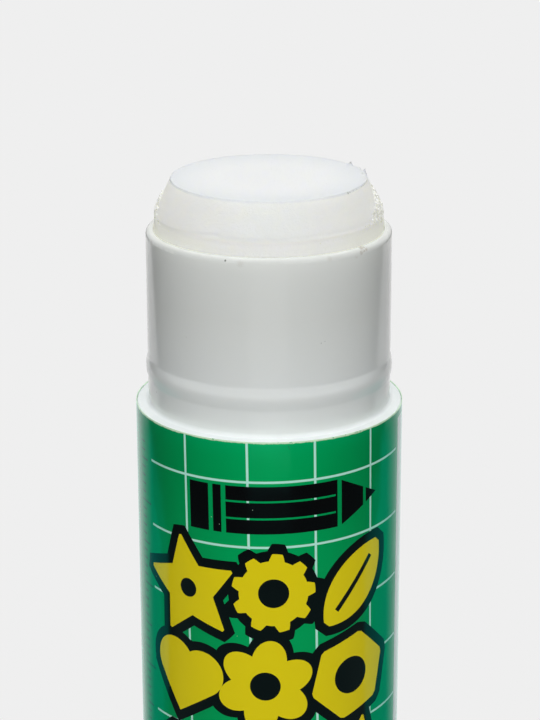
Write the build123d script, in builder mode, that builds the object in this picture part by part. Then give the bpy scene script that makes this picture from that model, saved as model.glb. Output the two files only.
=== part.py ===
from build123d import *
import os
from math import cos, radians, sin

os.makedirs("parts", exist_ok=True)

# Twist-up glue stick without its cap, standing on its knob, in millimetres and degrees.
# +Z runs up the stick, -Y is the front, and the origin is the centre of the knob's foot.
# Turning the knob turns the spindle, whose left-hand thread lifts the carrier and the glue.

# Barrel: one white moulding with a bore, a shoulder and a neck for the cap
bore_radius = 12.72
neck_wall = 0.88
shoulder_width = 1.29
body_length = 68.7
neck_height = 19.85
lip_round = 0.6
lip_inner_round = 0.12
neck_fillet = 0.4
shoulder_round = 0.12
barrel_foot_chamfer = 0.3
cap_bead_rise = 4.25
cap_bead_height = 2.4
cap_bead_proud = 0.2
cap_bead_blend = 1.2

# Keys inside the barrel, which stop the carrier turning
key_count = 2
key_width = 1.2
key_depth = 0.3
key_bite = 0.5
key_below_lip = 6.0
key_lead_in = 0.2
key_end_gap = 0.3
key_clearance = 0.15

# Label: a printed film on its adhesive round the body, with a butt seam at the back
label_thickness = 0.08
label_adhesive = 0.03
label_foot_margin = 1.2
label_seam = 0.15

# Knob: fluted skirt, closed floor, snap ring and a hub that holds the spindle
knob_height = 13.0
knob_gap = 0.3
knob_wall = 1.3
knob_foot_width = 1.9
knob_foot_round = 0.4
knob_rim_round = 0.25
knob_recess = 0.8
knob_floor = 1.5
flute_count = 40
flute_radius = 0.6
flute_depth = 0.35
flute_margin = 1.5
ring_wall = 1.1
ring_rise = 5.5
ring_clearance = 0.12
ring_chamfer = 0.4
snap_rise = 3.2
snap_height = 1.6
snap_proud = 0.35
snap_clearance = 0.12
hub_radius = 4.8
hub_rise = 1.0
socket_across_flats = 5.0
socket_depth = 8.0
web_count = 6
web_thickness = 0.9
web_below_hub = 3.0

# Turning arrow, raised in the recess under the knob
arrow_radius = 8.0
arrow_width = 1.6
arrow_raise = 0.3
arrow_angle = 80.0
arrow_head_angle = 24.0
arrow_head_width = 4.2

# Spindle: hexagonal root, collar, shank, two-start left-hand thread and tip
thread_radius = 3.2
thread_depth = 0.7
thread_starts = 2
thread_lead = 6.0
thread_crest_share = 0.28
thread_root_share = 0.28
root_end_gap = 0.4
collar_radius = 4.2
collar_height = 1.2
shank_height = 1.0
tip_below_lip = 9.5
tip_height = 1.5
tip_radius = 1.4

# Carrier: a piston with a threaded hub, a cup for the glue and a guiding skirt
carrier_clearance = 0.07
carrier_band = 2.0
carrier_relief = 0.3
carrier_wall = 1.1
carrier_floor = 1.4
guide_height = 7.0
cup_height = 7.6
parked_gap = 0.5
nut_radius = 5.0
nut_clearance = 0.2
guide_web_count = 6
guide_web_thickness = 0.9
guide_web_height = 5.0
anchor_count = 4
anchor_thickness = 0.9
anchor_height = 4.5
anchor_inner_radius = 6.0

# Glue: a cast column with a bevelled tip
glue_clearance = 0.12
glue_above_lip = 1.7
bevel_height = 3.95
bevel_width = 1.95
tip_edge_round = 0.5
glue_shoulder_round = 0.3
spindle_hole_clearance = 0.3
spindle_hole_spare = 0.6

# Travel from the photographed height, in whole turns of the knob
turns_down = 1
turns_up = 10

# One overrun for every cut
overrun = 1.0

# Radii and heights that the pieces share
neck_radius = bore_radius + neck_wall
body_radius = neck_radius + shoulder_width
label_bore = body_radius + label_adhesive
barrel_radius = label_bore + label_thickness
barrel_foot = knob_height + knob_gap
shoulder = barrel_foot + body_length
lip = shoulder + neck_height
ring_top = knob_height + ring_rise
ring_radius = bore_radius - ring_clearance
ring_bore = ring_radius - ring_wall
snap_centre = knob_height + snap_rise
hub_top = knob_height + hub_rise
knob_floor_top = knob_recess + knob_floor
key_radius = bore_radius - key_depth
slot_radius = key_radius - key_clearance
slot_width = key_width + 2 * key_clearance
key_foot = ring_top + key_end_gap
key_top = lip - key_below_lip
parked_height = ring_top + parked_gap
carrier_foot = parked_height + turns_down * thread_lead
carrier_floor_top = carrier_foot + guide_height + carrier_floor
carrier_top = carrier_floor_top + cup_height
carrier_radius = bore_radius - carrier_clearance
cup_radius = carrier_radius - carrier_wall
spindle_tip = lip - tip_below_lip
thread_foot = hub_top + collar_height + shank_height
thread_top = spindle_tip - tip_height
thread_root = thread_radius - thread_depth
glue_radius = bore_radius - glue_clearance
glue_shoulder = lip + glue_above_lip
glue_top = glue_shoulder + bevel_height
spindle_hole_radius = thread_radius + spindle_hole_clearance
spindle_hole_top = spindle_tip + turns_down * thread_lead + spindle_hole_spare


def at_angle(radius, angle):
    """Point on a circle round the axis."""
    return (radius * cos(radians(angle)), radius * sin(radians(angle)))


def corner(sketch, x, y):
    """The sketch's vertex at a known corner of its profile."""
    return sketch.vertices().sort_by_distance((x, y))[0]


def screw(foot, height, growth=0.0):
    """Left-hand thread between two heights, in step with the spindle's, grown for a nut."""
    crest, root = thread_radius + growth, thread_root + growth
    step = 360 / thread_starts
    crest_angle = thread_crest_share * step
    root_angle = thread_root_share * step
    flank_angle = (step - crest_angle - root_angle) / 2
    phase = -360 * (foot - thread_foot) / thread_lead
    with BuildPart() as thread:
        with BuildSketch(Plane.XY.offset(foot)):
            with BuildLine():
                for start in range(thread_starts):
                    crest_start = phase + start * step
                    crest_end = crest_start + crest_angle
                    root_start = crest_end + flank_angle
                    root_end = root_start + root_angle
                    CenterArc((0, 0), crest, crest_start, crest_angle)
                    Line(at_angle(crest, crest_end), at_angle(root, root_start))
                    CenterArc((0, 0), root, root_start, root_angle)
                    Line(at_angle(root, root_end), at_angle(crest, crest_start + step))
            make_face()
        with BuildLine() as rise:
            Line((0, 0, foot), (0, 0, foot + height))
        twist = Helix(thread_lead, height, crest, center=(0, 0, foot), lefthand=True, mode=Mode.PRIVATE)
        sweep(path=rise.wires()[0], binormal=twist)
    return thread.part


# Barrel
groove_radius = ring_radius + snap_proud + snap_clearance
groove_half = snap_height / 2 + snap_clearance
bead_foot = shoulder + cap_bead_rise - cap_bead_height / 2
bead_top = bead_foot + cap_bead_height
bead_peak = (neck_radius + cap_bead_proud, shoulder + cap_bead_rise)

with BuildPart() as barrel:
    with BuildSketch(Plane.XZ) as wall:
        with BuildLine():
            Polyline(
                (bore_radius, lip),
                (bore_radius, snap_centre + groove_half + snap_proud),
                (groove_radius, snap_centre + groove_half),
                (groove_radius, snap_centre - groove_half),
                (bore_radius, snap_centre - groove_half),
                (bore_radius, barrel_foot),
                (body_radius, barrel_foot),
                (body_radius, shoulder),
                (neck_radius, shoulder),
                (neck_radius, bead_foot),
            )
            ThreePointArc((neck_radius, bead_foot), bead_peak, (neck_radius, bead_top))
            Polyline((neck_radius, bead_top), (neck_radius, lip), (bore_radius, lip))
        make_face()
        fillet(corner(wall, neck_radius, bead_foot), cap_bead_blend)
        fillet(corner(wall, neck_radius, bead_top), cap_bead_blend)
        fillet(corner(wall, neck_radius, lip), lip_round)
        fillet(corner(wall, bore_radius, lip), lip_inner_round)
        fillet(corner(wall, neck_radius, shoulder), neck_fillet)
        fillet(corner(wall, body_radius, shoulder), shoulder_round)
        chamfer(corner(wall, body_radius, barrel_foot), barrel_foot_chamfer)
        chamfer(corner(wall, bore_radius, barrel_foot), barrel_foot_chamfer)
    revolve(axis=Axis.Z)
    # Keys on the bore, with a small lead-in at the foot, where the carrier enters
    with BuildSketch(Plane.XY.offset(key_foot)):
        with PolarLocations((key_radius + bore_radius + key_bite) / 2, key_count):
            Rectangle(key_depth + key_bite, key_width)
    extrude(amount=key_top - key_foot)
    chamfer(barrel.edges().filter_by(Axis.Y).group_by(Axis.Z)[0], key_lead_in)
barrel.part.label = "barrel"
export_step(barrel.part, "parts/barrel.step")

# Label
with BuildPart() as label:
    with BuildSketch(Plane.XY.offset(barrel_foot + label_foot_margin)):
        Circle(barrel_radius)
        Circle(label_bore, mode=Mode.SUBTRACT)
        with Locations((0, barrel_radius)):
            Rectangle(label_seam, overrun, mode=Mode.SUBTRACT)
    extrude(amount=body_length - label_foot_margin)
label.part.label = "label"
export_step(label.part, "parts/label.step")

# Knob
snap_peak = (ring_radius + snap_proud, snap_centre)
skirt_bore = body_radius - knob_wall

with BuildPart() as knob:
    with BuildSketch(Plane.XZ) as section:
        with BuildLine():
            Polyline(
                (ring_radius, snap_centre - snap_height / 2),
                (ring_radius, knob_floor_top),
                (skirt_bore, knob_floor_top),
                (skirt_bore, knob_height),
                (body_radius, knob_height),
                (body_radius, 0),
                (body_radius - knob_foot_width, 0),
                (body_radius - knob_foot_width, knob_recess),
                (0, knob_recess),
                (0, hub_top),
                (hub_radius, hub_top),
                (hub_radius, knob_floor_top),
                (ring_bore, knob_floor_top),
                (ring_bore, ring_top),
                (ring_radius, ring_top),
                (ring_radius, snap_centre + snap_height / 2),
            )
            ThreePointArc(
                (ring_radius, snap_centre + snap_height / 2),
                snap_peak,
                (ring_radius, snap_centre - snap_height / 2),
            )
        make_face()
        fillet(corner(section, body_radius, knob_height), knob_rim_round)
        fillet(corner(section, body_radius, 0), knob_foot_round)
        fillet(corner(section, body_radius - knob_foot_width, 0), knob_foot_round)
        chamfer(corner(section, ring_radius, ring_top), ring_chamfer)
    revolve(axis=Axis.Z)
    # Flutes round the grip
    with BuildSketch(Plane.XY.offset(flute_margin)):
        with PolarLocations(body_radius + flute_radius - flute_depth, flute_count):
            Circle(flute_radius)
    extrude(amount=knob_height - 2 * flute_margin, mode=Mode.SUBTRACT)
    # Webs from the hub to the snap ring
    with BuildSketch(Plane.XY.offset(knob_recess)):
        with PolarLocations((hub_radius + ring_bore) / 2, web_count):
            Rectangle(ring_bore - hub_radius + ring_wall, web_thickness)
    extrude(amount=hub_top - web_below_hub - knob_recess)
    # Hexagonal socket for the spindle's root
    with BuildSketch(Plane.XY.offset(hub_top)):
        RegularPolygon(socket_across_flats / 2, 6, major_radius=False)
    extrude(amount=-socket_depth, mode=Mode.SUBTRACT)
    # Arrow that shows the way to turn the knob to raise the glue
    with BuildSketch(Plane.XY.offset(knob_recess - arrow_raise)):
        with BuildLine():
            inner_arc = CenterArc((0, 0), arrow_radius - arrow_width / 2, 0, arrow_angle)
            outer_arc = CenterArc((0, 0), arrow_radius + arrow_width / 2, 0, arrow_angle)
            Line(inner_arc @ 0, outer_arc @ 0)
            Line(inner_arc @ 1, outer_arc @ 1)
        make_face()
        with BuildLine():
            Polyline(
                at_angle(arrow_radius - arrow_head_width / 2, arrow_angle),
                at_angle(arrow_radius + arrow_head_width / 2, arrow_angle),
                at_angle(arrow_radius, arrow_angle + arrow_head_angle),
                close=True,
            )
        make_face()
    extrude(amount=arrow_raise)
knob.part.label = "knob"
export_step(knob.part, "parts/knob.step")

# Spindle
with BuildPart() as spindle:
    with BuildSketch(Plane.XY.offset(hub_top)):
        RegularPolygon(socket_across_flats / 2, 6, major_radius=False)
    extrude(amount=root_end_gap - socket_depth)
    with BuildSketch(Plane.XY.offset(hub_top)):
        Circle(collar_radius)
    extrude(amount=collar_height)
    with BuildSketch(Plane.XY.offset(hub_top + collar_height)):
        Circle(thread_root)
    extrude(amount=shank_height)
    add(screw(thread_foot, thread_top - thread_foot))
    with BuildSketch(Plane.XY.offset(thread_top)):
        Circle(thread_root)
    with BuildSketch(Plane.XY.offset(spindle_tip)):
        Circle(tip_radius)
    loft()
spindle.part.label = "spindle"
export_step(spindle.part, "parts/spindle.step")

# Carrier
nut_thread = screw(carrier_foot - overrun, guide_height + carrier_floor + 2 * overrun, nut_clearance)
relief_radius = carrier_radius - carrier_relief

with BuildPart() as carrier:
    with BuildSketch(Plane.XZ):
        with BuildLine():
            Polyline(
                (carrier_radius, carrier_foot),
                (carrier_radius, carrier_foot + carrier_band),
                (relief_radius, carrier_foot + carrier_band + carrier_relief),
                (relief_radius, carrier_top - carrier_band - carrier_relief),
                (carrier_radius, carrier_top - carrier_band),
                (carrier_radius, carrier_top),
                (cup_radius, carrier_top),
                (cup_radius, carrier_floor_top),
                (0, carrier_floor_top),
                (0, carrier_foot),
                (nut_radius, carrier_foot),
                (nut_radius, carrier_floor_top - carrier_floor),
                (cup_radius, carrier_floor_top - carrier_floor),
                (cup_radius, carrier_foot),
                close=True,
            )
        make_face()
    revolve(axis=Axis.Z)
    # Webs under the floor, from the nut to the skirt
    with BuildSketch(Plane.XY.offset(carrier_floor_top)):
        with PolarLocations((nut_radius + cup_radius) / 2, guide_web_count):
            Rectangle(cup_radius - nut_radius + carrier_wall, guide_web_thickness)
    extrude(amount=-carrier_floor - guide_web_height)
    # Fins above the floor, which the glue is cast round
    with BuildSketch(Plane.XY.offset(carrier_floor_top)) as anchors:
        with PolarLocations((anchor_inner_radius + cup_radius) / 2, anchor_count, 360 / anchor_count / 2):
            Rectangle(cup_radius - anchor_inner_radius + carrier_wall, anchor_thickness)
    extrude(amount=anchor_height)
    # Slots that run on the barrel's keys
    with BuildSketch(Plane.XY.offset(carrier_foot - overrun)) as slots:
        with PolarLocations(slot_radius + overrun / 2, key_count):
            Rectangle(overrun, slot_width)
    extrude(amount=carrier_top - carrier_foot + 2 * overrun, mode=Mode.SUBTRACT)
    add(nut_thread, mode=Mode.SUBTRACT)
carrier.part.label = "carrier"
export_step(carrier.part, "parts/carrier.step")

# Glue
with BuildPart() as glue:
    with BuildSketch(Plane.XZ) as column:
        with BuildLine():
            Polyline(
                (spindle_hole_radius, carrier_floor_top),
                (cup_radius, carrier_floor_top),
                (cup_radius, carrier_top),
                (glue_radius, carrier_top),
                (glue_radius, glue_shoulder),
                (glue_radius - bevel_width, glue_top),
                (0, glue_top),
                (0, spindle_hole_top),
                (spindle_hole_radius, spindle_hole_top),
                close=True,
            )
        make_face()
        fillet(corner(column, glue_radius, glue_shoulder), glue_shoulder_round)
        fillet(corner(column, glue_radius - bevel_width, glue_top), tip_edge_round)
    revolve(axis=Axis.Z)
    # Grooves that the keys leave, above the cup
    with BuildSketch(Plane.XY.offset(carrier_top)):
        with PolarLocations(slot_radius + overrun / 2, key_count):
            Rectangle(overrun, slot_width)
    extrude(amount=glue_top - carrier_top, mode=Mode.SUBTRACT)
    # The glue sits round the carrier's fins
    add(carrier.part, mode=Mode.SUBTRACT)
glue.part.label = "glue"
export_step(glue.part, "parts/glue.step")

print("barrel radius", barrel_radius, "shoulder", shoulder, "lip", lip, "glue top", glue_top)
print("cap seat from", bead_top, "to", lip - lip_round, "radius", neck_radius)
print("knob range in turns", -turns_down, turns_up, "lift per turn", thread_lead)
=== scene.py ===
import random
from math import atan2, cos, hypot, pi, radians, sin

import bmesh
import bpy
from mathutils import Matrix, Vector, noise


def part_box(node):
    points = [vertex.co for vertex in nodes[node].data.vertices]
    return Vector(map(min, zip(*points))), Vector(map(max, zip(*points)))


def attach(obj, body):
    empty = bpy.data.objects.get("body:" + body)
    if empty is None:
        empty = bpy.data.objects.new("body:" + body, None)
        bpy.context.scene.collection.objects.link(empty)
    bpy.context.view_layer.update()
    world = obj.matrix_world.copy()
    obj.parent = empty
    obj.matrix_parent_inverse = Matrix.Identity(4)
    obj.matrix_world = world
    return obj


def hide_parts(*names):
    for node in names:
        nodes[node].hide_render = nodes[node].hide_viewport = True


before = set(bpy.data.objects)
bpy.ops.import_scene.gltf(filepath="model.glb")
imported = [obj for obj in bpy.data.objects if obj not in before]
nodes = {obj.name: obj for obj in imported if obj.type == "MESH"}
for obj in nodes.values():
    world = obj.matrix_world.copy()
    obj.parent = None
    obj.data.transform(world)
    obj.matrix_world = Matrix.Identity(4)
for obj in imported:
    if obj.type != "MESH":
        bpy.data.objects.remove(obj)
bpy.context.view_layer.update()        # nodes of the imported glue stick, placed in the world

mm = 0.001

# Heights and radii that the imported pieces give
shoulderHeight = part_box("label")[1].z
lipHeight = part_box("barrel")[1].z
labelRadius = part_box("label")[1].x
glueLow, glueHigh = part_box("glue")
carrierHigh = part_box("carrier")[1]
print("frame loaded: shoulder", round(shoulderHeight / mm, 2), "lip", round(lipHeight / mm, 2))


class Wire:
    # one output of a node; sums on it add Math nodes, and node() adds any other kind
    def __init__(self, tree, outputs=None, name=0):
        self.tree, self.outputs = tree, outputs
        self.socket = outputs[name] if outputs else None

    def out(self, name):
        return Wire(self.tree, self.outputs, name)

    def node(self, kind, settings=None, sockets=None):
        made = self.tree.nodes.new(kind)
        for key, value in (settings or {}).items():
            setattr(made, key, value)
        for key, value in (sockets or {}).items():
            if isinstance(value, Wire):
                self.tree.links.new(value.socket, made.inputs[key])
            else:
                made.inputs[key].default_value = value
        return Wire(self.tree, made.outputs)

    def sum(self, operation, *values, clamp=False):
        settings = {"operation": operation, "use_clamp": clamp}
        return self.node("ShaderNodeMath", settings, dict(enumerate(values)))

    def __add__(self, other):
        return self.sum("ADD", self, other)

    def __sub__(self, other):
        return self.sum("SUBTRACT", self, other)

    def __rsub__(self, other):
        return self.sum("SUBTRACT", other, self)

    def __mul__(self, other):
        return self.sum("MULTIPLY", self, other)

    def __truediv__(self, other):
        return self.sum("DIVIDE", self, other)

    def __pow__(self, other):
        return self.sum("POWER", self, other)

    def __mod__(self, other):
        return self.sum("FLOORED_MODULO", self, other)

    def __neg__(self):
        return self.sum("MULTIPLY", self, -1.0)

    def __abs__(self):
        return self.sum("ABSOLUTE", self)

    def __lt__(self, other):
        return self.sum("LESS_THAN", self, other)

    def __gt__(self, other):
        return self.sum("GREATER_THAN", self, other)

    __radd__ = __add__
    __rmul__ = __mul__

    def least(self, other):
        return self.sum("MINIMUM", self, other)

    def most(self, other):
        return self.sum("MAXIMUM", self, other)

    def clamp(self):
        return self.sum("ADD", self, 0.0, clamp=True)

    def within(self, edge, soft):
        # 1 below the edge, 0 above it, over a soft step
        return ((edge - self) / soft + 0.5).clamp()

    def ramp(self, start, end):
        # 0 at the start and 1 at the end, whichever is the higher
        return ((self - start) / (end - start)).clamp()

    def toLine(self, step):
        # distance to the nearest of evenly spaced lines, one of which is at 0
        return abs((self + step / 2) % step - step / 2)

    def cosine(self):
        return self.sum("COSINE", self)

    def split(self):
        parts = self.node("ShaderNodeSeparateXYZ", None, {0: self})
        return parts.out("X"), parts.out("Y"), parts.out("Z")

    def colours(self, low, high):
        # this value blends one colour into another
        return self.node("ShaderNodeMix", {"data_type": "RGBA"}, {0: self, 6: low, 7: high}).out(2)

    def speckle(self, place, scale, size, share):
        # sparse round specks of one size on a share of the cells
        cells = self.node("ShaderNodeTexVoronoi", None, {"Vector": place, "Scale": scale})
        chance = cells.out("Color").split()[0]
        return cells.out("Distance").within(size, size * 0.5) * (chance < share)


def rgb(red, green, blue):
    # a colour written as 0 to 255, as a screen shows it
    return tuple(linear(c / 255) for c in (red, green, blue)) + (1.0,)


def linear(c):
    return c / 12.92 if c <= 0.04045 else ((c + 0.055) / 1.055) ** 2.4


black = (0.0, 0.0, 0.0, 1.0)


def newMaterial(name):
    material = bpy.data.materials.new(name)
    material.use_nodes = True
    material.node_tree.nodes.clear()
    return material, Wire(material.node_tree)


def finishMaterial(wire, shader):
    wire.node("ShaderNodeOutputMaterial", None, {"Surface": shader})


def objectPlace(wire):
    # place on the object in millimetres
    place = wire.node("ShaderNodeTexCoord").out("Object")
    return wire.node("ShaderNodeVectorMath", {"operation": "SCALE"}, {0: place, 3: 1 / mm})


def relief(wire, height, depth):
    # a bump of this many millimetres
    return wire.node("ShaderNodeBump", None, {"Height": height, "Distance": depth * mm, "Strength": 1.0})


def cloud(wire, place, scale, detail=3.0, rough=0.5):
    return wire.node("ShaderNodeTexNoise", None,
                     {"Vector": place, "Scale": scale, "Detail": detail, "Roughness": rough}).out("Fac")


# Camera, as the photograph has it
camera = {"away": 244.3 * mm, "side": 0.1 * mm, "aboveShoulder": 85.4 * mm, "pitchDown": 18.36, "roll": -0.14,
          "lens": 114.55}


def makeCamera():
    data = bpy.data.cameras.new("camera")
    data.lens, data.clip_start, data.clip_end = camera["lens"], 0.01, 10.0
    made = bpy.data.objects.new("camera", data)
    place = Matrix.Translation((camera["side"], -camera["away"], shoulderHeight + camera["aboveShoulder"]))
    pitch = Matrix.Rotation(radians(90 - camera["pitchDown"]), 4, "X")
    made.matrix_world = place @ pitch @ Matrix.Rotation(radians(camera["roll"]), 4, "Z")
    bpy.context.scene.collection.objects.link(made)
    bpy.context.scene.camera = made


# Studio: a pale floor, a soft box overhead, soft fills in front and behind, and a plain world
studio = {
    "backdrop": rgb(239, 239, 239), "backdropAway": 1.2, "backdropSize": 3.2,
    "floorSize": 6.0, "floorPale": (0.93, 0.93, 0.93, 1.0), "floorDim": (0.24, 0.24, 0.24, 1.0),
    "shadowReach": 85.0,
    # what gloss shows of the floor, in degrees round from the front and millimetres from the stick.
    # Behind lies a white sheet, which brightens towards the back. It opens later far off and on the left,
    # and sooner close to the stick, where painted green light, bounced from the label, lies on it.
    "sheet": (0.93, 0.93, 0.93, 1.0), "sheetAngle": 115.0, "sheetEdge": 1.8, "sheetLeft": 8.0,
    "widenFrom": 230.0, "widen": 0.12, "narrowFrom": 232.0, "narrow": 0.45, "narrowMost": 27.0,
    "sheetDim": 0.80, "brightenFrom": 120.0, "brighten": 0.005,
    "tint": (0.01, 0.50, 0.43, 1.0), "tintFrom": 121.0, "tintTo": 145.0, "tintNear": 232.0, "tintFar": 240.0,
    # in front: a lit floor close by, darkness beyond it, a window's light and the bright far floor
    "room": (0.02, 0.021, 0.022, 1.0), "nearFloor": (0.13, 0.13, 0.13, 1.0),
    "nearEnd": 176.0, "nearEdge": 24.0, "nearHalf": 88.0, "nearSide": 14.0,
    "farFloor": (1.3, 1.33, 1.33, 1.0), "farFrom": 345.0, "farFull": 450.0, "farHalf": 95.0, "farSide": 30.0,
    "window": (0.62, 0.62, 0.62, 1.0), "windowFrom": 214.0, "windowFull": 240.0, "windowHalf": 17.5,
    "windowEdge": 1.2,
    "ambient": (0.10, 0.10, 0.105, 1.0), "glossyRoom": (0.07, 0.07, 0.07, 1.0),
    "topSize": 0.5, "topHeight": 0.62, "topPower": 2.25,
    "fillSize": 0.9, "fillAway": 0.9, "fillHeight": 0.42, "fillPower": 5.4, "backPower": 2.2,
    "cardWidth": 0.16, "cardTall": 0.36, "cardAway": 0.62, "cardAside": 0.42, "cardHeight": 0.42,
    "cardPower": 0.22,
}


def makeFloor():
    s = studio
    mesh = bmesh.new()
    bmesh.ops.create_grid(mesh, x_segments=1, y_segments=1, size=s["floorSize"] / 2)
    floor = meshObject(mesh, "floor")
    material, w = newMaterial("floor")
    x, y = objectPlace(w).split()[:2]
    rays = w.node("ShaderNodeLightPath")
    seen = rays.out("Is Camera Ray").most(rays.out("Is Transmission Ray"))
    glossy = rays.out("Is Glossy Ray")
    far = (x * x + y * y) ** 0.5
    turn = abs(w.sum("ARCTAN2", x, -y)) * (180 / pi)
    opening = (far - s["widenFrom"]).most(0.0) * s["widen"] + s["sheetAngle"] + (x < 0.0) * s["sheetLeft"]
    opening = opening - ((s["narrowFrom"] - far) * s["narrow"]).most(0.0).least(s["narrowMost"])
    bright = (turn - s["brightenFrom"]).most(0.0) * s["brighten"] + s["sheetDim"]
    onSheet = opening.within(turn, s["sheetEdge"]) * bright
    # painted green light bounced from the label, on the sheet close to the stick
    tinted = far.ramp(s["tintFar"], s["tintNear"]) * turn.ramp(s["tintTo"], s["tintFrom"])
    sheet = tinted.colours(s["sheet"], s["tint"])
    near = far.within(s["nearEnd"], s["nearEdge"]) * turn.within(s["nearHalf"], s["nearSide"])
    around = near.colours(s["room"], s["nearFloor"])
    onWindow = turn.within(s["windowHalf"], s["windowEdge"]) * far.ramp(s["windowFrom"], s["windowFull"])
    around = onWindow.colours(around, s["window"])
    onFar = far.ramp(s["farFrom"], s["farFull"]) * turn.within(s["farHalf"], s["farSide"])
    around = onFar.colours(around, s["farFloor"])
    shown = glossy.colours(s["backdrop"], onSheet.colours(around, sheet))
    # the camera sees the backdrop's tone, and the stick's shadow only close to the stick
    reach = (far / s["shadowReach"]).clamp()
    plain = (seen * reach * reach * (3 - 2 * reach) + glossy).clamp()
    glow = w.node("ShaderNodeEmission", None, {"Color": shown})
    matt = w.node("ShaderNodeBsdfDiffuse", None, {"Color": seen.colours(s["floorDim"], s["floorPale"])})
    finishMaterial(w, w.node("ShaderNodeMixShader", None, {0: plain, 1: matt, 2: glow}))
    floor.data.materials.append(material)


def makeBackdrop():
    # a pale sheet behind, which gloss and glass see as the camera sees the world
    mesh = bmesh.new()
    bmesh.ops.create_grid(mesh, x_segments=1, y_segments=1, size=studio["backdropSize"] / 2)
    bmesh.ops.rotate(mesh, verts=mesh.verts, matrix=Matrix.Rotation(radians(90), 3, "X"))
    bmesh.ops.translate(mesh, verts=mesh.verts, vec=(0, studio["backdropAway"], studio["backdropSize"] / 2))
    backdrop = meshObject(mesh, "backdrop")
    material, w = newMaterial("backdrop")
    glow = w.node("ShaderNodeEmission", None, {"Color": studio["backdrop"]})
    finishMaterial(w, glow)
    backdrop.data.materials.append(material)
    backdrop.visible_camera = False
    backdrop.visible_diffuse = False
    backdrop.visible_shadow = False


def makeWorld():
    world = bpy.data.worlds.new("studio")
    world.use_nodes = True
    world.node_tree.nodes.clear()
    w = Wire(world.node_tree)
    rays = w.node("ShaderNodeLightPath")
    seen = rays.out("Is Camera Ray").most(rays.out("Is Transmission Ray"))
    inGloss = rays.out("Is Glossy Ray").colours(studio["ambient"], studio["glossyRoom"])
    back = w.node("ShaderNodeBackground", None, {"Color": seen.colours(inGloss, studio["backdrop"])})
    w.node("ShaderNodeOutputWorld", None, {"Surface": back})
    bpy.context.scene.world = world


def makeLamp(name, place, wide, tall, power, inGloss=True):
    data = bpy.data.lights.new(name, "AREA")
    data.shape, data.size, data.size_y, data.energy = "RECTANGLE", wide, tall, power
    lamp = bpy.data.objects.new(name, data)
    lamp.location = place
    aim = Vector((0, 0, shoulderHeight)) - Vector(place)
    lamp.rotation_euler = aim.to_track_quat("-Z", "Y").to_euler()
    lamp.visible_camera = False
    lamp.visible_transmission = False
    lamp.visible_glossy = inGloss
    bpy.context.scene.collection.objects.link(lamp)


def makeLamps():
    s = studio
    top, fill = s["topSize"], s["fillSize"]
    makeLamp("softboxTop", (0, 0, s["topHeight"]), top, top, s["topPower"], False)
    makeLamp("fillFront", (0, -s["fillAway"], s["fillHeight"]), fill, fill, s["fillPower"], False)
    makeLamp("fillBack", (0, s["fillAway"], s["fillHeight"]), fill, fill, s["backPower"], False)
    for name, side in (("cardLeft", -1), ("cardRight", 1)):
        place = (side * s["cardAside"], -s["cardAway"], s["cardHeight"])
        makeLamp(name, place, s["cardWidth"], s["cardTall"], s["cardPower"])


def meshObject(mesh, name):
    data = bpy.data.meshes.new(name)
    mesh.to_mesh(data)
    mesh.free()
    made = bpy.data.objects.new(name, data)
    bpy.context.scene.collection.objects.link(made)
    return made


def paint(piece, material):
    piece.data.materials.clear()
    piece.data.materials.append(material)


# Barrel: glossy white moulding, with a little dirt on its lip
barrelLook = {
    "white": (0.82, 0.845, 0.81, 1.0), "uneven": (0.785, 0.81, 0.785, 1.0), "roughness": 0.10,
    # the rounded lip is darker in a band at its top: millimetres below the lip, and on each side
    "worn": (0.66, 0.68, 0.655, 1.0), "lipBandDrop": 0.22, "lipBandHalf": 0.26,
    # painted light: paler low on the neck, from light bounced off the ledge, and paler on the ledge, which
    # faces the top light: millimetres above the ledge
    "ledgeBounce": (0.87, 0.905, 0.885, 1.0), "nearFrom": 13.0, "nearFull": 5.0,
    "ledge": (0.93, 0.96, 0.95, 1.0), "ledgeFrom": 0.5, "ledgeFull": 0.1,
    # painted glow, in emission, for light that comes through the thin wall at the lip, and on the ledge
    "glow": (0.075, 0.075, 0.07, 1.0), "glowFade": 0.8, "ledgeGlow": (0.08, 0.10, 0.10, 1.0),
    # marks: degrees from the front, millimetres below the lip, size in millimetres, strength
    "markRadius": 13.4, "smudgeTone": rgb(150, 132, 104), "speckTone": rgb(70, 74, 66),
    "smudges": [(48.6, 0.12, 0.42, 0.5), (46.6, 0.42, 0.30, 0.32), (50.4, 0.2, 0.3, 0.4),
                (43.5, 0.7, 0.3, 0.14), (28.3, 0.35, 0.4, 0.12), (-12.8, 0.5, 0.45, 0.13),
                (120.0, 0.7, 0.6, 0.5), (-128.0, 0.9, 0.7, 0.4)],
    "specks": [(-19.8, 0.3, 0.14, 0.9), (-66.1, 17.4, 0.10, 0.5), (26.0, 9.4, 0.07, 0.35),
               (170.0, 3.0, 0.12, 0.7)],
}


def blots(w, angle, drop, radius, marks, ragged):
    # soft round marks round a cylinder
    total = None
    for degrees, below, size, strength in marks:
        across = (angle - radians(degrees)) * radius
        away = (across * across + (drop - below) * (drop - below)) ** 0.5
        mark = (away + ragged).within(size * 0.7, size * 0.6) * strength
        total = mark if total is None else total.most(mark)
    return total


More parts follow.
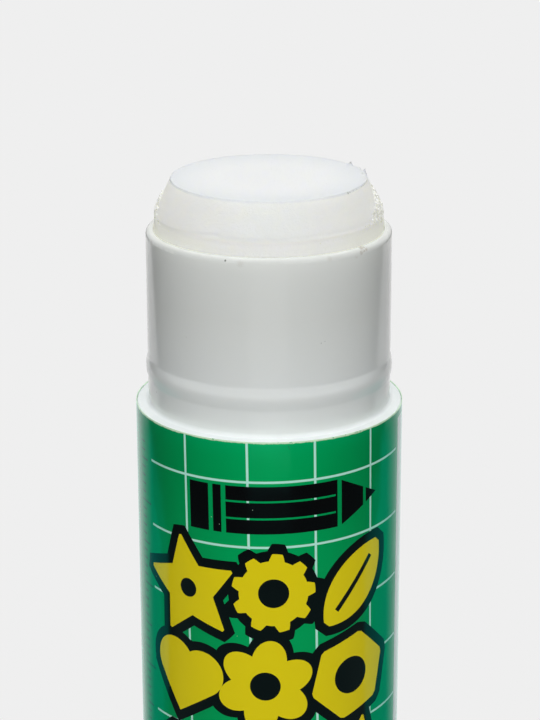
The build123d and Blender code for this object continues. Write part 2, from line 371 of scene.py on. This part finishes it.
def barrelPaint():
    look = barrelLook
    material, w = newMaterial("barrelPlastic")
    place = objectPlace(w)
    x, y, z = place.split()
    angle = w.sum("ARCTAN2", x, -y)
    drop, rise = lipHeight / mm - z, z - shoulderHeight / mm
    grain = cloud(w, place, 2.2, 4.0, 0.7)
    smudge = blots(w, angle, drop, look["markRadius"], look["smudges"], (grain - 0.5) * 0.55) * (grain > 0.42)
    speck = blots(w, angle, drop, look["markRadius"], look["specks"], (grain - 0.5) * 0.08)
    dust = w.speckle(place, 0.55, 0.035, 0.16) * 0.35
    onLedge = rise.ramp(look["ledgeFrom"], look["ledgeFull"]) * (rise > -0.2)
    # the lip's top is painted darker in a band
    worn = abs(drop - look["lipBandDrop"]).within(look["lipBandHalf"], look["lipBandHalf"]) * 0.85

    colour = (cloud(w, place, 0.12, 2.0) * 0.5).colours(look["white"], look["uneven"])
    # painted light: bounce from the ledge low on the neck, and top light on the ledge
    colour = rise.ramp(look["nearFrom"], look["nearFull"]).colours(colour, look["ledgeBounce"])
    colour = onLedge.colours(colour, look["ledge"])
    # the darker band at the lip's top
    colour = worn.colours(colour, look["worn"])
    colour = smudge.colours(colour, look["smudgeTone"])
    colour = speck.most(dust).colours(colour, look["speckTone"])

    # painted glow below the lip and on the ledge
    through = w.sum("EXPONENT", drop.most(0.0) * -look["glowFade"]) * (1 - smudge)
    glow = onLedge.colours(through.colours(black, look["glow"]), look["ledgeGlow"])

    orangePeel, scuffs = cloud(w, place, 0.45, 1.0), cloud(w, place, 6.0, 2.0)
    normal = relief(w, orangePeel + scuffs * 0.04, 0.012)
    rough = look["roughness"] + scuffs * 0.05 + smudge * 0.3
    shader = w.node("ShaderNodeBsdfPrincipled", None, {
        "Base Color": colour, "Roughness": rough, "Normal": normal, "IOR": 1.49, "Subsurface Weight": 0.12,
        "Subsurface Radius": (1.0, 0.95, 0.85), "Subsurface Scale": 0.0012,
        "Emission Color": glow, "Emission Strength": 1.0})
    finishMaterial(w, shader)
    return material


# Label: glossy green film with a white grid, a black pencil and yellow cut-out shapes
labelLook = {
    "green": (0.0, 0.43, 0.112, 1.0), "line": (0.55, 0.98, 0.83, 1.0), "yellow": (0.90, 0.74, 0.004, 1.0),
    "black": (0.0034, 0.0024, 0.003, 1.0), "soft": 0.03, "outline": 1.1,
    # the print sits a little askew: rise to the right, as a share of the way across
    "skew": 0.0137,
    # painted light, for light through the cut edge at the top, in a share that fades down the label
    "lit": (0.0, 0.60, 0.21, 1.0), "litMost": 0.55, "litFade": 1.1,
    # painted shade: darker towards the sides, and a little more so near the top
    "dark": (0.0, 0.03, 0.01, 1.0), "darkPower": 1.15, "darkMost": 0.37, "darkTop": 0.09,
    "darkTopFrom": 12.0, "darkTopFull": 4.0,
    # painted reflection: bluer on the flanks, in shares of the radius aside: sooner on the right and lower
    # down
    "flank": (0.0, 0.43, 0.17, 1.0), "flankFrom": 0.85, "flankFull": 0.88, "flankRight": 0.05,
    "flankBelow": 9.0, "flankWiden": 0.012, "flankWidest": 0.06,
    "gridFrom": -15.85, "gridTo": 18.3, "columnFirst": -9.85, "columnStep": 7.41, "columnsMiddle": 1.26,
    "columnsHalf": 14.0, "rowFirst": 4.6, "rowStep": 7.567, "rowsFrom": 2.0, "lineWidth": 0.27,
    # pencil: the cuts are behind its rubber and its ferrule, at its cone and at its lead
    "pencilMiddle": (2.0, 7.85), "pencilHalf": 11.3, "pencilThick": 2.75, "pencilTip": 5.4, "pencilGap": 0.26,
    "pencilRubber": 2.6, "pencilFerrule": 4.1, "pencilLead": 1.9, "leadGap": 0.208,
    "stripeAside": 0.99, "stripeHalf": 0.11, "stripeReach": 6.3,
    "tick": (0.02, 0.16, 0.09, 1.0), "tickEdge": -18.7, "tickHalf": 0.11, "tickLength": 1.1,
    "tickLonger": 0.7, "ticksFrom": 2.6, "ticksTo": 60.5,
    # panel: degrees from the front, and millimetres below the top edge
    "white": (0.80, 0.82, 0.82, 1.0), "panelFrom": 72.5, "panelTo": 158.0, "panelDrop": 1.0,
    "panelFoot": 62.5, "rule": (0.30, 0.36, 0.34, 1.0), "ruleFirst": 15.0, "ruleStep": 6.0, "ruleHalf": 0.07,
    "ruleInset": 3.0, "rulesFrom": 14.0, "rulesTo": 58.0,
    "cutEdge": (0.78, 1.0, 0.72, 1.0), "cutDeep": 0.31, "cutLeast": 0.02,
    "scratch": (0.02, 0.20, 0.10, 1.0), "scratchFrom": 1.83, "scratchLean": 0.45, "scratchMiddle": 0.62,
    "scratchHalf": 0.22, "scratchWidth": 0.04,
}


def polarAt(w, across, down, centre, lean):
    # distance and angle round a shape's centre, the angle from straight up
    du, dv = across - centre[0], down - centre[1]
    far = (du * du + dv * dv) ** 0.5
    return far, w.sum("ARCTAN2", du, -dv) - radians(lean)


def turned(across, down, centre, lean):
    # place beside and above a shape's centre, along its own axes
    turn = radians(lean)
    du, dv = across - centre[0], down - centre[1]
    return du * cos(turn) + dv * sin(turn), du * sin(turn) - dv * cos(turn)


# each shape gives its distance outwards from its edge, and the distance outwards from its hole
def starShape(w, across, down, centre, size, lean):
    far, turn = polarAt(w, across, down, centre, lean)
    half, waist = pi / 5, size * 0.50
    fold = turn.toLine(2 * half)
    # the straight side runs from the tip, on the fold, to the waist
    along = (size - waist * cos(half), -waist * sin(half))
    normal = atan2(along[0], -along[1])
    side = far * (fold - normal).cosine() - size * cos(normal)
    hole = far - size * 0.17
    return side.most(far - size * 0.95), hole


def flowerShape(w, across, down, centre, size, lean):
    far, turn = polarAt(w, across, down, centre, lean)
    edge = (abs((turn * 3.0).cosine()) * 0.30 + 0.68) * size
    return (far - edge) * 0.88, far - size * 0.30


def nutShape(w, across, down, centre, size, lean):
    far, turn = polarAt(w, across, down, centre, lean)
    fold = turn % (pi / 3) - pi / 6
    return (far * fold.cosine() - size * 0.866).most(far - size * 0.97), far - size * 0.42


def gearShape(w, across, down, centre, size, lean):
    far, turn = polarAt(w, across, down, centre, lean)
    tooth = ((turn * 9.0).cosine() * 2.2).most(-1.0).least(1.0)
    return (far - tooth * (size * 0.085) - size * 0.9) * 0.9, far - size * 0.36


def leafShape(w, across, down, centre, size, lean):
    aside, along = turned(across, down, centre, lean)
    aside = abs(aside)
    blade = (along * along + (aside + size * 0.75) * (aside + size * 0.75)) ** 0.5 - size * 1.25
    vein = (aside - size * 0.05).most(abs(along) - size * 0.62)
    return blade.most(abs(along) - size * 0.94), vein


def heartShape(w, across, down, centre, size, lean):
    aside, along = turned(across, down, centre, lean)
    aside, along = abs(aside), along + size * 0.12
    lobe, reach = size * 0.375, size * 0.53
    ring = ((aside - lobe) * (aside - lobe) + (along - lobe) * (along - lobe)) ** 0.5 - reach
    slant = (abs(aside + along) * 0.7071).most(abs(aside - along) * 0.7071) - reach
    return ring.least(slant), None


# kind, place across and down in millimetres, size, lean in degrees
labelShapes = [
    (starShape, (-9.9, 18.0), 6.5, -9.0), (gearShape, (0.2, 17.6), 4.75, 6.0),
    (leafShape, (9.9, 17.9), 5.9, 42.0), (heartShape, (-10.6, 29.0), 5.2, 12.0),
    (flowerShape, (-0.9, 28.8), 5.7, 9.0), (nutShape, (9.4, 29.0), 5.3, 14.0),
    (leafShape, (-9.6, 40.4), 5.8, -38.0), (nutShape, (0.6, 40.2), 5.0, 3.0),
    (starShape, (10.0, 40.4), 6.2, 11.0), (gearShape, (-9.7, 51.6), 4.9, 0.0),
    (starShape, (0.4, 52.0), 6.3, -6.0), (heartShape, (9.9, 51.8), 5.2, -10.0),
]


def pencilMark(across, down):
    # distance outwards from a pencil lying on its side, with the gaps between its parts
    look = labelLook
    along, aside = across - look["pencilMiddle"][0], abs(down - look["pencilMiddle"][1])
    half, thick, tip = look["pencilHalf"], look["pencilThick"], look["pencilTip"]
    ferrule = look["pencilFerrule"]
    fromEnd, fromTip = along + half, half - along
    cone = (aside - fromTip * (thick / tip)) * cos(atan2(thick, tip))
    body = (aside - thick).most(cone).most(-fromEnd)
    cuts = abs(fromEnd - look["pencilRubber"]).least(abs(fromEnd - ferrule)).least(abs(fromTip - tip))
    cuts = (cuts - look["pencilGap"]).least(abs(fromTip - look["pencilLead"]) - look["leadGap"])
    stripe = abs(fromEnd - ferrule - look["stripeReach"]) - look["stripeReach"]
    stripe = stripe.most(abs(aside - look["stripeAside"]) - look["stripeHalf"])
    return body.most(-cuts).most(-stripe)


def labelPaint():
    look = labelLook
    material, w = newMaterial("labelFilm")
    place = objectPlace(w)
    x, y, z = place.split()
    radius = labelRadius / mm
    rim = shoulderHeight / mm - z
    around = w.sum("ARCTAN2", x, -y) * radius
    across, down = around - rim * look["skew"], rim + around * look["skew"]
    soft = look["soft"]
    fine = cloud(w, place, 3.0, 3.0)

    # green ground
    # painted light near the top
    fade = w.sum("EXPONENT", rim * -look["litFade"]) * look["litMost"]
    ground = (fade + cloud(w, place, 0.35, 1.0) * 0.10).clamp().colours(look["green"], look["lit"])
    aside = (abs(x) / (x * x + y * y) ** 0.5).clamp()
    # painted shade towards the sides
    dark = rim.ramp(look["darkTopFrom"], look["darkTopFull"]) * look["darkTop"] + look["darkMost"]
    ground = (aside ** look["darkPower"] * dark).colours(ground, look["dark"])
    # painted reflection on the flanks
    widen = ((rim - look["flankBelow"]) * look["flankWiden"]).clamp().least(look["flankWidest"])
    flank = (aside + (x > 0.0) * look["flankRight"] + widen).ramp(look["flankFrom"], look["flankFull"])
    ground = (flank * (rim / 3.0).clamp() * 0.5).colours(ground, look["flank"])

    # grid
    column = (across - look["columnFirst"]).toLine(look["columnStep"])
    row = (down - look["rowFirst"]).toLine(look["rowStep"])
    between = abs(across - look["columnsMiddle"]) < look["columnsHalf"]
    columns = column.within(look["lineWidth"] / 2, soft) * between
    rows = row.within(look["lineWidth"] / 2, soft) * (down > look["rowsFrom"])
    inGrid = across.within(look["gridTo"], soft) * (-across).within(-look["gridFrom"], soft)
    colour = (columns.most(rows) * inGrid).colours(ground, look["line"])

    # black pencil
    colour = pencilMark(across, down).within(0.0, soft).colours(colour, look["black"])

    # cut-out shapes: all the outlines first, so that they run together, then the yellow
    outlines = yellows = None
    for kind, centre, size, lean in labelShapes:
        edge, hole = kind(w, across, down, centre, size, lean)
        inner = edge if hole is None else edge.most(-hole)
        outlines = edge if outlines is None else outlines.least(edge)
        yellows = inner if yellows is None else yellows.least(inner)
    colour = (outlines - look["outline"]).within(0.0, soft).colours(colour, look["black"])
    colour = yellows.within(0.0, soft).colours(colour, look["yellow"])

    # ruler ticks beside the grid, longer at every fifth and tenth millimetre
    longer = down.toLine(10.0).within(0.3, 0.1) + down.toLine(5.0).within(0.3, 0.1)
    fromEdge = across - look["tickEdge"]
    tick = down.toLine(1.0).within(look["tickHalf"], soft) * (fromEdge > 0.0)
    tick = tick * (fromEdge < longer * look["tickLonger"] + look["tickLength"])
    colour = (tick * (down > look["ticksFrom"]) * (down < look["ticksTo"])).colours(colour, look["tick"])

    # white panel round to the back, with ruled lines
    left, right = radians(look["panelFrom"]) * radius, radians(look["panelTo"]) * radius
    middle, tall = (look["panelDrop"] + look["panelFoot"]) / 2, (look["panelFoot"] - look["panelDrop"]) / 2
    off, half = abs(around - (left + right) / 2), (right - left) / 2
    panel = (off - half).most(abs(rim - middle) - tall).within(0.0, soft)
    ruled = (rim - look["ruleFirst"]).toLine(look["ruleStep"]).within(look["ruleHalf"], soft)
    ruled = ruled * (rim > look["rulesFrom"]) * (rim < look["rulesTo"])
    ruled = ruled * off.within(half - look["ruleInset"], soft)
    colour = panel.colours(colour, (ruled * 0.8).colours(look["white"], look["rule"]))

    # the cut top edge shows pale, in dashes, and there are dust and a scratch
    ragged = cloud(w, place, 1.3, 4.0, 0.7)
    cutEdge = rim.within(ragged * look["cutDeep"] + look["cutLeast"], 0.07) * (1.0 - (ragged > 0.62) * 0.5)
    dust = w.speckle(place, 1.1, 0.05, 0.05)
    colour = cutEdge.most(dust * 0.5).colours(colour, look["cutEdge"])
    scratch = abs(around - look["scratchFrom"] - rim * look["scratchLean"]).within(look["scratchWidth"], 0.05)
    scratch = scratch * abs(rim - look["scratchMiddle"]).within(look["scratchHalf"], 0.1)
    colour = (scratch * 0.8).colours(colour, look["scratch"])

    waviness = cloud(w, place, 0.22, 1.0)
    printEdge = yellows.most(-0.4).least(0.4)
    normal = relief(w, waviness + fine * 0.02 - printEdge * 0.03, 0.03)
    shader = w.node("ShaderNodeBsdfPrincipled", None, {
        "Base Color": colour, "Roughness": 0.10 + fine * 0.05 + dust * 0.3, "Normal": normal, "IOR": 1.5,
        "Specular Tint": (0.25, 1.0, 0.95, 1.0), "Sheen Weight": 0.22, "Sheen Roughness": 0.3,
        "Sheen Tint": (0.0, 1.0, 0.75, 1.0)})
    finishMaterial(w, shader)
    return material


# Glue: waxy column, bevelled at the tip, rough where it has rubbed on the barrel
glueLook = {
    # profile, with the rings up its plain side, its worn side, and its bevel and top
    "steps": 400, "plainRings": 8, "wornRings": 26, "tipRings": 30,
    "holeRadius": 3.5 * mm, "holeTop": 98.95 * mm, "cupRadius": 11.55 * mm, "wornFrom": 98 * mm,
    "shoulder": 103.6 * mm, "topRadius": 10.74 * mm, "topHeight": 107.45 * mm,
    "slotRadius": 12.27 * mm, "slotHalf": 0.75 * mm, "boreRadius": 12.655 * mm,
    # wear, in millimetres: the top sinks and waves, the side waves and is grainy, and the scraped part of
    # the bevel swells in lumps round a share of its height
    "topSunk": 0.02, "topWave": 0.03, "sideWave": 0.04, "sideGrain": 0.015,
    "scrapeAt": 0.27, "scrapeSwell": 0.17, "scrapeLump": 0.24, "scrapeLeft": 26, "scrapeRight": 44,
    "swellInside": 0.07, "swellAbove": 0.09,
    # flakes on the rim: degrees from the front, height and half width in millimetres
    "flakes": [(121, 0.42, 0.35), (99, 0.55, 0.4), (93, 0.35, 0.3), (110, 0.15, 0.3)],
    # a torn line at the rim: degrees from the front, millimetres below the top, size in millimetres, strength
    "tears": [(51.5, 0.16, 0.17, 0.75), (53.5, 0.14, 0.12, 0.6), (57.0, 0.12, 0.09, 0.45),
              (61.0, 0.1, 0.1, 0.5), (64.5, 0.12, 0.08, 0.45), (68.0, 0.1, 0.1, 0.6),
              (71.0, 0.1, 0.11, 0.6), (74.0, 0.1, 0.1, 0.5)],
    # the line where the lip has pressed the glue: degrees from the front, millimetres above the shoulder
    "seam": [(-180, 0.0), (-90, -0.1), (-57, -0.27), (-26, 0.26), (-24, 0.0), (4, 0.0), (22, 0.2), (90, 0.24),
             (180, 0.0)],
    "seamWaver": 0.06, "seamDepth": 0.07, "seamHalf": 0.2,
    # tones at the middle and aside, with painted light and shade: the top, bevel and side differ as light
    # falls on them, the bevel is paler aside, the top darker towards its rim, and the crease darker
    "tip": (0.905, 0.935, 0.90, 1.0), "tipAside": (0.98, 0.985, 0.90, 1.0),
    "side": (0.955, 0.96, 0.91, 1.0), "sideAside": (0.94, 0.95, 0.83, 1.0),
    "top": (0.885, 0.90, 0.905, 1.0), "topRim": (0.775, 0.81, 0.825, 1.0), "crease": (0.72, 0.73, 0.72, 1.0),
    "tear": (0.30, 0.31, 0.29, 1.0), "grain": (0.84, 0.86, 0.80, 1.0), "sparkle": (0.97, 0.97, 0.95, 1.0),
    # painted glow: emission under the shoulder and aside
    "glow": (1.0, 1.0, 0.88, 1.0), "neckGlow": 0.085, "neckGlowAside": 0.15, "tipGlowAside": 0.16,
}


def seamRise(degrees):
    line = glueLook["seam"]
    for (low, lowRise), (high, highRise) in zip(line, line[1:]):
        if degrees <= high:
            return lowRise + (highRise - lowRise) * (degrees - low) / (high - low)
    return line[-1][1]


def glueProfile():
    # radius and height down the column: hole, cup, side, bevel and top
    g = glueLook
    outer, plain, worn, tip = glueHigh.y, g["plainRings"], g["wornRings"], g["tipRings"]
    fromCup, fromWorn, fromShoulder = carrierHigh.z, g["wornFrom"], g["shoulder"]
    points = [(g["holeRadius"], glueLow.z), (g["cupRadius"], glueLow.z), (g["cupRadius"], fromCup)]
    points += [(outer, fromCup + (fromWorn - fromCup) * k / plain) for k in range(plain)]
    points += [(outer, fromWorn + (fromShoulder - fromWorn) * k / worn) for k in range(worn)]
    for k in range(tip + 1):
        share = k / tip
        points.append((outer + (g["topRadius"] - outer) * share,
                       fromShoulder + (g["topHeight"] - fromShoulder) * share))
    points += [(g["topRadius"] * (1 - k / tip), g["topHeight"]) for k in range(1, tip)]
    return points + [(0.0, g["topHeight"]), (0.0, g["holeTop"]), (g["holeRadius"], g["holeTop"])]


def makeGlue():
    g = glueLook
    mesh = bmesh.new()
    line = [mesh.verts.new((radius, 0, height)) for radius, height in glueProfile()]
    pairs = zip(line, line[1:] + line[:1])
    # the stretch of the profile that lies on the axis makes no face
    edges = [mesh.edges.new(pair) for pair in pairs if not (pair[0].co.x == 0 and pair[1].co.x == 0)]
    bmesh.ops.spin(mesh, geom=line + edges, cent=(0, 0, 0), axis=(0, 0, 1), dvec=(0, 0, 0),
                   angle=2 * pi, steps=g["steps"], use_merge=True)
    bmesh.ops.remove_doubles(mesh, verts=mesh.verts, dist=1e-7)
    bmesh.ops.recalc_face_normals(mesh, faces=mesh.faces)
    for face in mesh.faces:
        face.smooth = True
    for edge in mesh.edges:
        # the rim of the tip is a crisp edge
        if all(v.co.z > g["topHeight"] - 1e-6 and hypot(v.co.x, v.co.y) > g["topRadius"] - 1e-5
               for v in edge.verts):
            edge.smooth = False
    wearGlue(mesh)
    glue = meshObject(mesh, "glueColumn")
    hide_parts("glue")
    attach(glue, "carrier")
    return glue


def scraped(angle):
    # 1 at the two keys, where the barrel scrapes the glue, and 0 elsewhere; more of it on the right
    away = abs(abs(angle) - pi / 2)
    reach = radians(glueLook["scrapeRight"] if angle > 0 else glueLook["scrapeLeft"])
    return max(0.0, 1 - away / reach) ** 1.3


def wearGlue(mesh):
    g = glueLook
    for vert in mesh.verts:
        x, y, z = vert.co
        radius = hypot(x, y)
        if radius < 1e-6 or z < carrierHigh.z + 0.01 * mm:
            continue
        if radius < g["holeRadius"] * 1.05 and z < g["holeTop"] + 0.01 * mm:
            continue
        angle = atan2(x, -y)
        spot = Vector((x, y, z)) / mm
        rough = scraped(angle)
        grain = noise.noise(spot * 2.3) + 0.5 * noise.noise(spot * 5.1)
        broad = noise.noise(spot * 0.25)
        if z > g["topHeight"] - 0.001 * mm and radius < g["topRadius"] * 0.99:
            vert.co.z += (g["topWave"] * broad - g["topSunk"]) * mm
            continue
        push = g["sideGrain"] * grain + g["sideWave"] * broad
        tip = (z - g["shoulder"]) / (g["topHeight"] - g["shoulder"])
        if tip > -0.5:
            near = max(0.0, 1 - abs(tip - g["scrapeAt"]) / g["scrapeAt"])
            lumps = noise.noise(spot * 1.7) + 0.8 * noise.noise(spot * 4.4 + Vector((9, 0, 0)))
            push += rough * near * (g["scrapeLump"] * lumps + g["scrapeSwell"])
        waver = g["seamWaver"] * noise.noise(Vector((angle * 9, 0, 2)))
        seam = g["shoulder"] / mm + seamRise(angle * 180 / pi) + waver
        push -= g["seamDepth"] * max(0.0, 1 - abs(spot.z - seam) / g["seamHalf"])
        if z < lipHeight:
            push = min(push + g["swellInside"], (g["boreRadius"] - radius) / mm)
        if z > lipHeight - 0.5 * mm and tip < -0.2:
            push += g["swellAbove"]
        out = min(radius + push * mm, g["boreRadius"])
        if abs(y) < g["slotHalf"] and z < lipHeight + 0.1 * mm:
            out = min(out, g["slotRadius"])
        vert.co.x, vert.co.y = x * out / radius, y * out / radius
        if tip > 0.97:
            for degrees, rise, wide in g["flakes"]:
                away = abs(angle - radians(degrees)) * g["topRadius"] / mm / wide
                vert.co.z += max(0.0, 1 - away) ** 0.7 * rise * mm


# Crumbs that the barrel has scraped off the glue, most of them at the two keys
grainLook = {
    "seed": 7, "count": 2200,
    # they climb the bevel at the keys, to a share of its height, and run along the shoulder from there
    "climb": 0.8, "spread": 1.25, "ledgeLeft": 0.05, "ledgeRight": 0.22, "atKeys": 0.9, "elsewhere": 0.13,
    # millimetres: the smallest, and what the largest has more; how far they stand out or sink in
    "small": 0.04, "larger": 0.12, "proud": 0.25, "sunk": 0.02,
    "pale": (0.96, 0.96, 0.95, 1.0), "dark": (0.68, 0.68, 0.60, 1.0),
    # painted glow: the crumbs give off a little light, more where pale
    "paleGlow": (0.23, 0.23, 0.22, 1.0), "darkGlow": (0.07, 0.07, 0.06, 1.0),
}


def makeGrains():
    g, look = glueLook, grainLook
    shoulder, bevel = g["shoulder"], g["topHeight"] - g["shoulder"]
    draw = random.Random(look["seed"])
    mesh = bmesh.new()
    count = 0
    while count < look["count"]:
        angle = draw.uniform(-pi, pi)
        low = draw.random()
        along = max(0.0, 1 - abs(abs(angle) - pi / 2) / look["spread"])
        ledge = look["ledgeRight"] if angle > 0 else look["ledgeLeft"]
        reach = look["climb"] * scraped(angle) ** 1.1 + ledge * along
        if draw.random() > scraped(angle) * look["atKeys"] + look["elsewhere"] or low > reach:
            continue
        height = shoulder + (low * 0.9 - 0.10 - 0.12 * draw.random()) * bevel
        tip = min(max(0.0, (height - shoulder) / bevel), 1.0)
        size = (look["small"] + look["larger"] * draw.random() ** 2.5) * mm
        proud = (look["proud"] * scraped(angle) * draw.random() * min(1.0, tip * 5) - look["sunk"]) * mm
        radius = min(glueHigh.y + (g["topRadius"] - glueHigh.y) * tip + proud, g["boreRadius"] - size)
        axis = Vector((draw.random(), draw.random(), draw.random() + 0.1))
        turn = Matrix.Rotation(draw.uniform(0, 2 * pi), 4, axis)
        squash = Matrix.Diagonal((1.0, draw.uniform(0.5, 1.0), draw.uniform(0.5, 1.0), 1.0))
        place = Matrix.Translation((radius * sin(angle), -radius * cos(angle), height))
        bmesh.ops.create_icosphere(mesh, subdivisions=1, radius=size, matrix=place @ turn @ squash)
        count += 1
    grains = meshObject(mesh, "glueGrains")
    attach(grains, "carrier")
    return grains


def gluePaint():
    look = glueLook
    material, w = newMaterial("glueWax")
    place = objectPlace(w)
    x, y, z = place.split()
    grain = cloud(w, place, 3.6, 4.0, 0.65)
    fine = cloud(w, place, 9.0, 2.0, 0.6)
    sparkle = w.speckle(place, 3.2, 0.16, 0.12)
    far = (x * x + y * y) ** 0.5
    shoulder, top, rim = look["shoulder"] / mm, look["topHeight"] / mm, look["topRadius"] / mm
    onTop = z.ramp(top - 0.3, top)
    aside = (x * x / (far * far + 0.01)).clamp() * (1 - onTop)
    # the side under the shoulder is yellower, and has a painted glow for light through the neck
    low = z.ramp(shoulder + 0.25, shoulder - 0.45)
    neck = low * z.ramp(shoulder - 5.0, shoulder - 2.5)
    # painted light and shade: the bevel, the side and the top take their own tones, paler aside on the bevel
    tip = aside.colours(look["tip"], look["tipAside"])
    tone = low.colours(tip, aside.colours(look["side"], look["sideAside"]))
    tone = onTop.colours(tone, look["top"])
    # painted shade: the top darkens towards its rim
    tone = (onTop * far.ramp(5.5, 10.7) ** 1.5).colours(tone, look["topRim"])
    # painted shade in the crease at the top's rim
    crease = abs(far - rim).within(0.13, 0.2) * z.ramp(top - 0.5, top - 0.3)
    tone = (crease * 0.08).colours(tone, look["crease"])
    angle = w.sum("ARCTAN2", x, -y)
    tears = blots(w, angle, top - z, rim, look["tears"], (fine - 0.5) * 0.2) * (far > rim - 0.2)
    tone = tears.colours(tone, look["tear"])
    tone = (grain * 0.10).colours(tone, look["grain"])
    # partly painted glints: paler specks, which are also smoother
    colour = (sparkle * 0.4).colours(tone, look["sparkle"])
    # painted glow under the shoulder, stronger aside and on the bevel's sides
    glow = neck * (look["neckGlow"] + look["neckGlowAside"] * aside)
    glow = (glow + (1 - low) * aside * aside * look["tipGlowAside"]).colours(black, look["glow"])
    normal = relief(w, grain + fine * 0.7 + sparkle * 0.5, 0.06)
    shader = w.node("ShaderNodeBsdfPrincipled", None, {
        "Base Color": colour, "Roughness": 0.42 - sparkle * 0.25 + grain * 0.1, "Normal": normal, "IOR": 1.46,
        "Subsurface Weight": 0.8, "Subsurface Radius": (1.0, 0.97, 0.80), "Subsurface Scale": 0.0016,
        "Emission Color": glow, "Emission Strength": 1.0})
    finishMaterial(w, shader)
    return material


def grainPaint():
    material, w = newMaterial("glueCrumbs")
    place = objectPlace(w)
    shade = ((cloud(w, place, 3.0, 1.0) - 0.5) * 5.0 + 0.5).clamp()
    tone = shade.colours(grainLook["pale"], grainLook["dark"])
    # painted glow on the crumbs
    glow = shade.colours(grainLook["paleGlow"], grainLook["darkGlow"])
    shader = w.node("ShaderNodeBsdfPrincipled", None, {
        "Base Color": tone, "Roughness": 0.22, "IOR": 1.46, "Subsurface Weight": 0.8,
        "Subsurface Radius": (1.0, 0.97, 0.85), "Subsurface Scale": 0.0006,
        "Emission Color": glow, "Emission Strength": 1.0})
    finishMaterial(w, shader)
    return material


# Knob, spindle and carrier: plain mouldings
mouldings = {
    "knob": {"white": (0.84, 0.845, 0.825, 1.0), "roughness": 0.2, "glow": 0.10},
    "spindle": {"white": (0.80, 0.81, 0.78, 1.0), "roughness": 0.32, "glow": 0.3},
    "carrier": {"white": (0.80, 0.81, 0.78, 1.0), "roughness": 0.34, "glow": 0.3},
}
mouldingTones = {"uneven": (0.77, 0.785, 0.765, 1.0), "dust": (0.25, 0.24, 0.21, 1.0)}


def mouldingPaint(name, look):
    material, w = newMaterial(name + "Plastic")
    place = objectPlace(w)
    grain = cloud(w, place, 5.0, 3.0)
    flow = cloud(w, place, 0.3, 2.0)
    dust = w.speckle(place, 0.7, 0.05, 0.15) * 0.3
    colour = (flow * 0.5).colours(look["white"], mouldingTones["uneven"])
    colour = dust.colours(colour, mouldingTones["dust"])
    normal = relief(w, grain + flow, 0.012)
    shader = w.node("ShaderNodeBsdfPrincipled", None, {
        "Base Color": colour, "Roughness": look["roughness"] + grain * 0.1, "Normal": normal, "IOR": 1.49,
        "Subsurface Weight": look["glow"], "Subsurface Radius": (1.0, 0.95, 0.85),
        "Subsurface Scale": 0.0012})
    finishMaterial(w, shader)
    return material


makeCamera()
makeFloor()
makeBackdrop()
makeWorld()
makeLamps()
print("camera and studio made")

paint(nodes["barrel"], barrelPaint())
paint(nodes["label"], labelPaint())
for name, look in mouldings.items():
    paint(nodes[name], mouldingPaint(name, look))
print("mouldings and label painted")

paint(makeGlue(), gluePaint())
paint(makeGrains(), grainPaint())
print("glue made")

bpy.context.scene.view_settings.view_transform = "Standard"
